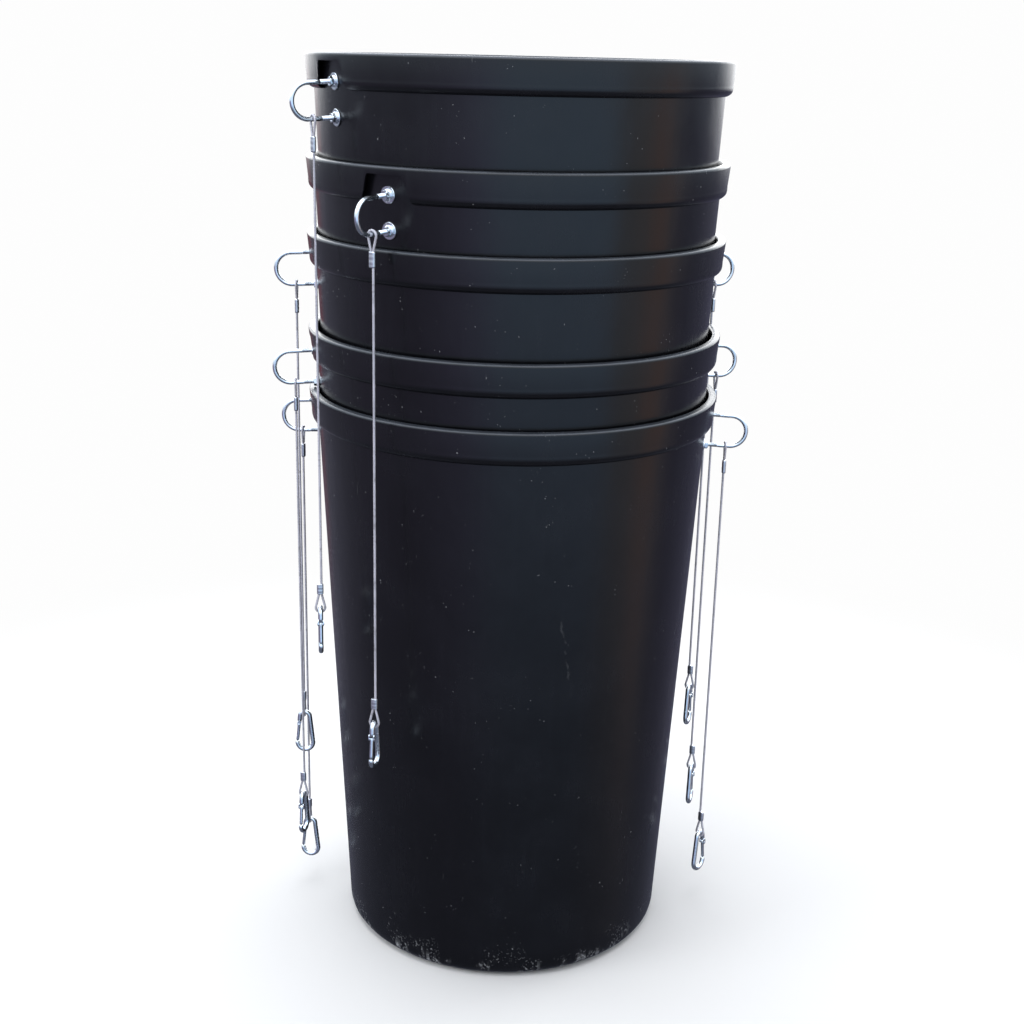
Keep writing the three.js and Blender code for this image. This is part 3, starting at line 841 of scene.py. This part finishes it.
# %% [markdown]
# ## Snap hooks
# The hook is a 7 mm bar bent into a pear, narrow where it hangs in the wire's eye and wide where
# it takes a ring. A sprung gate closes its side. The gate turns on a rivet between two small
# cheeks on the body, so the body, the gate and the rivet are three pieces, and the gate rides on
# its own body of the CAD model. The pear is two arcs joined by straight sides that touch both, so
# one angle, the sides' flare, settles where everything else goes.

# %% Sizes of the snap hook, as in the CAD model but for slightly wider cheeks
HOOK_ROD, HOOK_LENGTH, NECK_RADIUS, BELLY_RADIUS = 0.007, 0.070, 0.0075, 0.012
GATE_ROD, GATE_TOP, GATE_LENGTH, PIN_ROOM = 0.0048, 0.014, 0.028, 0.0039
CHEEK_THICK, CHEEK_WIDTH, LINK_GAP, NOSE_GAP = 0.0012, 0.0052, 0.0005, 0.0008
RIVET_HEAD, RIVET_DOME, RIVET_SHANK, RIVET_EDGE = 0.0019, 0.0007, 0.0011, 0.0001
neck_crown = WIRE / 2 + HOOK_ROD / 2 + LINK_GAP
neck_z = neck_crown - NECK_RADIUS
belly_z = neck_crown - (HOOK_LENGTH - HOOK_ROD) + BELLY_RADIUS
flare = asin((BELLY_RADIUS - NECK_RADIUS) / (neck_z - belly_z))
side_length = (neck_z - belly_z) * cos(flare)


def side_point(down, y=0.0):
    """A point on the gate's side of the hook, a distance down from the neck's tangent point."""
    x = NECK_RADIUS * cos(flare) + down * sin(flare)
    return Vector((x, y, neck_z + NECK_RADIUS * sin(flare) - down * cos(flare)))


# %% Hook body
def hook_body():
    nose = flare - (GATE_TOP + GATE_LENGTH + NOSE_GAP - side_length) / BELLY_RADIUS
    back_top, back_foot = (Vector((-p.x, p.y, p.z)) for p in (side_point(0), side_point(side_length)))
    line = steps_between(side_point(GATE_TOP - PIN_ROOM), side_point(0), 0.002)
    line += arc(Vector((0, 0, neck_z)), NECK_RADIUS, flare, pi - flare, 18)
    line += steps_between(back_top, back_foot, 0.004)[1:]
    line += arc(Vector((0, 0, belly_z)), BELLY_RADIUS, pi - flare, 2 * pi + nose, 26)
    full = HOOK_ROD / 2
    radii = [full] * len(line)
    radii[0], radii[1] = full * 0.72, full * 0.92
    radii[-1], radii[-2] = full * 0.66, full * 0.93
    cheek = plate_outline(CHEEK_WIDTH, PIN_ROOM + CHEEK_WIDTH, 0.0025, 5)
    tilt = Matrix.Rotation(-flare, 4, "Y")
    cheeks = []
    apart = GATE_ROD / 2 + LINK_GAP + CHEEK_THICK / 2
    for y in (apart, -apart):
        flatwise = slab(cheek, -CHEEK_THICK / 2, CHEEK_THICK / 2, BEVEL)
        place = Matrix.Translation(side_point(GATE_TOP - PIN_ROOM / 2, y)) @ tilt
        cheeks.append(moved(flatwise, place @ Matrix.Rotation(pi / 2, 4, "Z")))
    return joined([bar(line, radii, sides=20)] + cheeks)


# %% Gate and rivet
def hook_gate():
    start, end = side_point(GATE_TOP - 0.0018), side_point(GATE_TOP + GATE_LENGTH - 0.0002)
    line = steps_between(start, end, 0.002) + [end]
    full = GATE_ROD / 2
    radii = [full] * len(line)
    radii[0], radii[-1] = full * 0.7, full * 0.8
    return bar(line, radii, sides=18)


def hinge_rivet():
    half = GATE_ROD / 2 + LINK_GAP + CHEEK_THICK
    under, over = half - RIVET_EDGE, half + RIVET_EDGE
    one_end = [
        (RIVET_SHANK, under), (RIVET_HEAD, under), (RIVET_HEAD, over),
        (RIVET_HEAD * 0.7, half + RIVET_DOME * 0.75), (0, half + RIVET_DOME),
    ]
    profile = [(r, -x) for r, x in reversed(one_end)] + one_end
    across = Matrix.Rotation(pi / 2, 4, "Z")
    return moved(turned(profile, 20, "X"), Matrix.Translation(side_point(GATE_TOP)) @ across)


# %% Hang the hooks
for station in stations:
    key = station.key
    home = station.facing(station.foot, station.twist)
    body = piece("clip_" + key, moved(hook_body(), home), zinc, "hook_" + key,
                 ["snap_hook_" + key])
    gate = piece("clip_gate_" + key, moved(hook_gate(), home), zinc, "gate_" + key,
                 ["hook_gate_" + key])
    rivet = piece("clip_rivet_" + key, moved(hinge_rivet(), home), zinc, "hook_" + key)
    sling = slings[key]
    sling["pieces"] + [body, gate, rivet]
print("hooks hung", len(stations))

# %% [markdown]
# ## Floor and light
# A plain white floor and a white backdrop keep the eye on the object. A large curved sheet behind
# it would also hide the horizon, but it would stand in the way of side views, so the floor fades
# into the backdrop's colour with distance instead, and only its middle takes shadows. The lamps
# give the soft, even light of an overcast day. They are hidden from reflections, because black
# plastic shows little else than what it mirrors, and that is left to the surround.

# %% Floor
BACKDROP = (0.985, 0.985, 0.985, 1)
NEAR, FAR = 0.45, 1.7  # metres from the nest, between which the floor fades into the backdrop
FLOOR_GREY, FLOOR_REACH, FLOOR_DROP = 0.77, 30.0, 0.0005


def pale_floor():
    finish = Finish("pale_floor", Roughness=0.9)
    where = finish.node("ShaderNodeTexCoord", output="Object")
    away = finish.node("ShaderNodeVectorMath", {"operation": "LENGTH"}, {0: where}, output="Value")
    dull, pale = ((grey, grey, grey, 1) for grey in (FLOOR_GREY, FLOOR_GREY * 1.03))
    finish.set("Base Color", finish.blend(finish.grain(0.6), dull, pale))
    glow = finish.node("ShaderNodeEmission", None, {"Color": BACKDROP, "Strength": 1.0})
    ground = Level(finish, finish.shader.outputs[0])
    blend = finish.node("ShaderNodeMixShader", None, {0: away.ramp(NEAR, FAR), 1: ground, 2: glow})
    finish.links.new(blend.output, finish.nodes["Material Output"].inputs["Surface"])
    return finish


ground = bpy.data.meshes.new("floor")
corners = [(x * FLOOR_REACH, y * FLOOR_REACH, 0) for x, y in ((-1, -1), (1, -1), (1, 1), (-1, 1))]
ground.from_pydata(corners, [], [(0, 1, 2, 3)])
ground.materials.append(pale_floor().material)
ground_object = bpy.data.objects.new("floor", ground)
ground_object.location.z = cad_low.z - FLOOR_DROP
ground_object.visible_glossy = False
bpy.context.scene.collection.objects.link(ground_object)


# %% Lamps
def lamp(name, place, aim, size, watts, colour=(1, 1, 1)):
    data = bpy.data.lights.new(name, "AREA")
    data.shape, data.size, data.size_y = "RECTANGLE", size[0], size[1]
    data.energy, data.color = watts, colour
    made = bpy.data.objects.new(name, data)
    made.location = place
    made.rotation_mode = "QUATERNION"
    made.rotation_quaternion = (Vector(aim) - Vector(place)).to_track_quat("-Z", "Y")
    bpy.context.scene.collection.objects.link(made)
    made.visible_glossy = False
    return made


middle = (0, 0, 0.7)
lamp("overhead", (-0.3, 0.3, 3.6), middle, (3.0, 3.0), 95, (0.97, 0.985, 1.0))
lamp("left", (-2.8, -1.2, 2.0), middle, (1.4, 1.8), 34, (0.96, 0.98, 1.0))
lamp("right_back", (2.6, 1.8, 2.2), middle, (1.6, 1.8), 30)
print("lamps", [thing.name for thing in bpy.data.lights])

# %% [markdown]
# ## What the plastic mirrors
# A ready-made environment map would light this well, but it would be one more file, so the
# surround is written as sums on the direction: across, back and up, each from -1 to 1. The walls
# lean outwards as they rise, so they mirror the ground. It is dim, with a cool patch in front that
# turns violet to the left, a grey patch to the right, and a thin warm strip and a thin red one.
# Above the horizon the sky is bright, most of all behind the nest, and with the painted highlight on
# each rim's top it draws the pale line along each rim. Only mirrored rays see all this. Soft light
# comes from a plain grey that is paler above, and the eye sees the backdrop.

# %% Surround
world = bpy.data.worlds.new("surround")
world.use_nodes = True
bpy.context.scene.world = world


class Surround(Finish):
    """The world, with the same helpers as a finish."""

    def __init__(self, world):
        self.nodes, self.links = world.node_tree.nodes, world.node_tree.links
        self.shader = self.nodes["Background"]


around = Surround(world)
across, back, up = around.parts("Generated")
print("surround", world.name)

# %% The ground as the walls mirror it
ground_high, ground_low = (0.19, 0.17, 0.26, 1), (0.11, 0.12, 0.16, 1)
cool_patch, violet_patch = (0.72, 1.04, 1.42, 1), (0.78, 0.76, 1.25, 1)
neutral_patch = (0.52, 0.52, 0.54, 1)
warm_strip, red_strip = (0.78, 0.44, 0.33, 1), (0.34, 0.08, 0.10, 1)
left_rear, right_rear = (0.20, 0.20, 0.27, 1), (0.13, 0.13, 0.20, 1)
glossy = around.blend(up.ramp(-0.30, -0.55), ground_high, ground_low)
rear = around.blend(across.ramp(-0.1, 0.3), left_rear, right_rear)
glossy = around.blend(back.ramp(0.0, 0.45) * up.ramp(-0.65, -0.3), glossy, rear)
cool = across.ramp(-0.98, -0.08) * back.ramp(-0.30, -0.62) * up.ramp(-0.62, 0.0)
glossy = around.blend(cool, glossy, around.blend(across.ramp(-0.55, 0.0), violet_patch, cool_patch))
neutral = across.ramp(0.6, 0.9) * back.ramp(-0.62, -0.45) * back.ramp(0.28, -0.02) * up.ramp(-0.65, -0.2)
glossy = around.blend(neutral, glossy, neutral_patch)
warm = across.ramp(0.6, 0.9) * back.ramp(-0.22, -0.12) * back.ramp(0.09, 0.0) * up.ramp(-0.55, -0.25)
glossy = around.blend(warm * 0.8, glossy, warm_strip)
red = across.ramp(-0.30, -0.34) * across.ramp(-0.46, -0.42) * back.ramp(0.6, 0.8) * up.ramp(-0.40, -0.25)
glossy = around.blend(red, glossy, red_strip)
print("ground nodes", len(around.nodes))

# %% The sky, and who sees what
sky_low, sky_high, sky_rear = (0.80, 0.95, 1.10, 1), (2.6, 2.8, 3.1, 1), (3.6, 3.65, 3.7, 1)
shade, daylight = (0.45, 0.45, 0.46, 1), (0.80, 0.82, 0.86, 1)
sky = around.blend(up.ramp(0.10, 0.80), sky_low, sky_high)
sky = around.blend(back.ramp(0.60, 0.88) * up.ramp(0.70, 0.50), sky, sky_rear)
glossy = around.blend(up.ramp(-0.10, 0.05), glossy, sky)
soft = around.blend(up.ramp(-0.2, 0.4), shade, daylight)
mirrored = around.node("ShaderNodeLightPath", output="Is Glossy Ray")
seen = around.node("ShaderNodeLightPath", output="Is Camera Ray")
around.set("Color", around.blend(seen, around.blend(mirrored, soft, glossy), BACKDROP))
around.set("Strength", 1.0)
bpy.context.scene.view_settings.view_transform = "Standard"
print("surround nodes", len(around.nodes))
